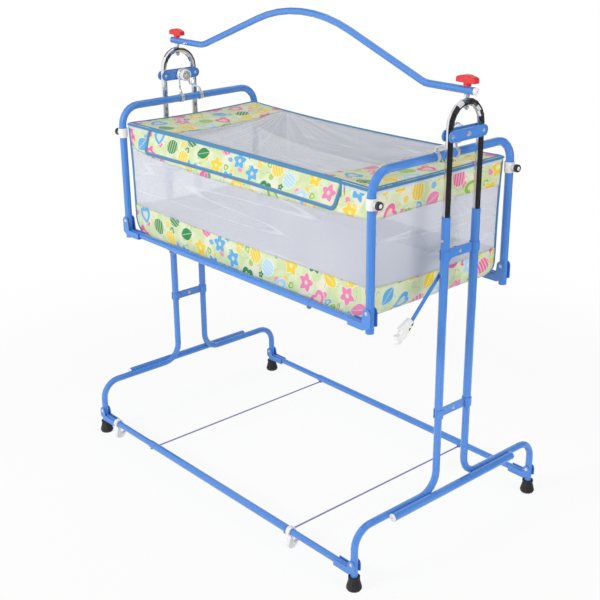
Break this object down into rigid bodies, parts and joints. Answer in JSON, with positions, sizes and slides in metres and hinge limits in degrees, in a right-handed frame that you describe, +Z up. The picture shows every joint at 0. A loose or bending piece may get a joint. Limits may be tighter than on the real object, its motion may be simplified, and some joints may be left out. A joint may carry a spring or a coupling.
{
  "type": "swinging cradle on a stand",
  "caption": "Fabric and net crib that swings on two bearings between telescopic arches of a bent tube stand, with a bow bar, side swing lock and corner clamps.",
  "frame": {"origin": "on the floor, midway between the four feet", "axes": "+X along the crib to the end with the swing lock, +Y to the rear, +Z up"},
  "size_m": [1.054, 0.646, 1.1754],
  "materials": {
    "blue_paint": "gloss powder coat",
    "tie_paint": "dull",
    "chrome": "polished",
    "zinc_steel": "zinc plated",
    "black_rubber": "matt",
    "white_plastic": "satin",
    "red_plastic": "gloss",
    "black_plastic": "satin",
    "print_cloth": "printed polyester",
    "net_cloth": "fine net",
    "pad_cloth": "quilted"
  },
  "bodies": {
    "stand": {"base_rail_front": "blue_paint", "base_rail_rear": "blue_paint", "base_tie_left": "tie_paint", "base_tie_right": "tie_paint", "leg_frame_left": "blue_paint", "leg_frame_right": "blue_paint", "lock_pivot_bolt": "zinc_steel", "lower_bracket_left": "blue_paint", "lower_bracket_right": "blue_paint", "mid_bracket_left": "blue_paint", "mid_bracket_right": "blue_paint", "rubber_foot_front_left": "black_rubber", "rubber_foot_front_right": "black_rubber", "rubber_foot_rear_left": "black_rubber", "rubber_foot_rear_right": "black_rubber", "upper_tube_front_left": "blue_paint", "upper_tube_front_right": "blue_paint", "upper_tube_rear_left": "blue_paint", "upper_tube_rear_right": "blue_paint"},
    "upper_frame": {"arch_left": "chrome", "arch_right": "chrome", "bow_bar": "blue_paint", "arch_bolt_left": "zinc_steel", "arch_bolt_right": "zinc_steel", "bearing_bolt_left": "zinc_steel", "bearing_bolt_right": "zinc_steel", "bearing_carrier_left": "blue_paint", "bearing_carrier_right": "blue_paint"},
    "crib": {"bearing_housing_left": "white_plastic", "bearing_housing_right": "white_plastic", "bearing_left": "zinc_steel", "bearing_right": "zinc_steel", "corner_clamp_front_left": "white_plastic", "corner_clamp_front_right": "white_plastic", "corner_clamp_rear_left": "white_plastic", "corner_clamp_rear_right": "white_plastic", "crib_end_left": "blue_paint", "crib_end_right": "blue_paint", "crib_floor_wire_left": "tie_paint", "crib_floor_wire_right": "tie_paint", "crib_rail_front": "blue_paint", "crib_rail_rear": "blue_paint", "hanger_left": "zinc_steel", "hanger_right": "zinc_steel", "fabric_basket": "print_cloth", "mattress": "pad_cloth", "net_cover": "net_cloth", "front_flap": "print_cloth"},
    "swing_lock": {"lock_arm": "blue_paint", "lock_paw": "white_plastic"},
    "wing_knob_left": {"wing_knob_left": "red_plastic"},
    "wing_knob_right": {"wing_knob_right": "red_plastic"},
    "clamp_knob_front_left": {"clamp_knob_front_left": "black_plastic"},
    "clamp_knob_front_right": {"clamp_knob_front_right": "black_plastic"},
    "clamp_knob_rear_left": {"clamp_knob_rear_left": "black_plastic"},
    "clamp_knob_rear_right": {"clamp_knob_rear_right": "black_plastic"},
    "hook_left": {"hook_left": "white_plastic"},
    "hook_right": {"hook_right": "white_plastic"},
    "height_button_left": {"height_button_left": "zinc_steel"},
    "height_button_right": {"height_button_right": "zinc_steel"}
  },
  "joints": [
    {"name": "height_slide", "type": "slide", "parent": "stand", "child": "upper_frame", "axis": [0, 0, 1], "range_m": [-0.078, 0]},
    {"name": "crib_swing", "type": "hinge", "parent": "upper_frame", "child": "crib", "pos_m": [0, 0, 0.9655], "axis": [1, 0, 0], "range_deg": [-20, 20]},
    {"name": "swing_lock_turn", "type": "hinge", "parent": "stand", "child": "swing_lock", "pos_m": [0.4872, 0, 0.712], "axis": [1, 0, 0], "range_deg": [-20, 45]},
    {"name": "wing_knob_left_turn", "type": "hinge", "parent": "upper_frame", "child": "wing_knob_left", "pos_m": [-0.5, 0, 1.06135], "axis": [0, 0, 1], "continuous": true},
    {"name": "wing_knob_right_turn", "type": "hinge", "parent": "upper_frame", "child": "wing_knob_right", "pos_m": [0.5, 0, 1.06135], "axis": [0, 0, 1], "continuous": true},
    {"name": "clamp_knob_front_left_turn", "type": "hinge", "parent": "crib", "child": "clamp_knob_front_left", "pos_m": [-0.4668, -0.218, 0.847], "axis": [-1, 0, 0], "continuous": true},
    {"name": "clamp_knob_front_right_turn", "type": "hinge", "parent": "crib", "child": "clamp_knob_front_right", "pos_m": [0.4668, -0.218, 0.847], "axis": [1, 0, 0], "continuous": true},
    {"name": "clamp_knob_rear_left_turn", "type": "hinge", "parent": "crib", "child": "clamp_knob_rear_left", "pos_m": [-0.4668, 0.218, 0.847], "axis": [-1, 0, 0], "continuous": true},
    {"name": "clamp_knob_rear_right_turn", "type": "hinge", "parent": "crib", "child": "clamp_knob_rear_right", "pos_m": [0.4668, 0.218, 0.847], "axis": [1, 0, 0], "continuous": true},
    {"name": "hook_left_turn", "type": "hinge", "parent": "stand", "child": "hook_left", "pos_m": [-0.436, -0.305, 0.0468], "axis": [1, 0, 0], "continuous": true},
    {"name": "hook_right_turn", "type": "hinge", "parent": "stand", "child": "hook_right", "pos_m": [0.29, -0.305, 0.0468], "axis": [1, 0, 0], "continuous": true},
    {"name": "height_button_left_press", "type": "slide", "parent": "stand", "child": "height_button_left", "axis": [0, 1, 0], "range_m": [0, 0.0006], "stiffness_N_per_m": 800},
    {"name": "height_button_right_press", "type": "slide", "parent": "stand", "child": "height_button_right", "axis": [0, 1, 0], "range_m": [0, 0.0006], "stiffness_N_per_m": 800}
  ]
}
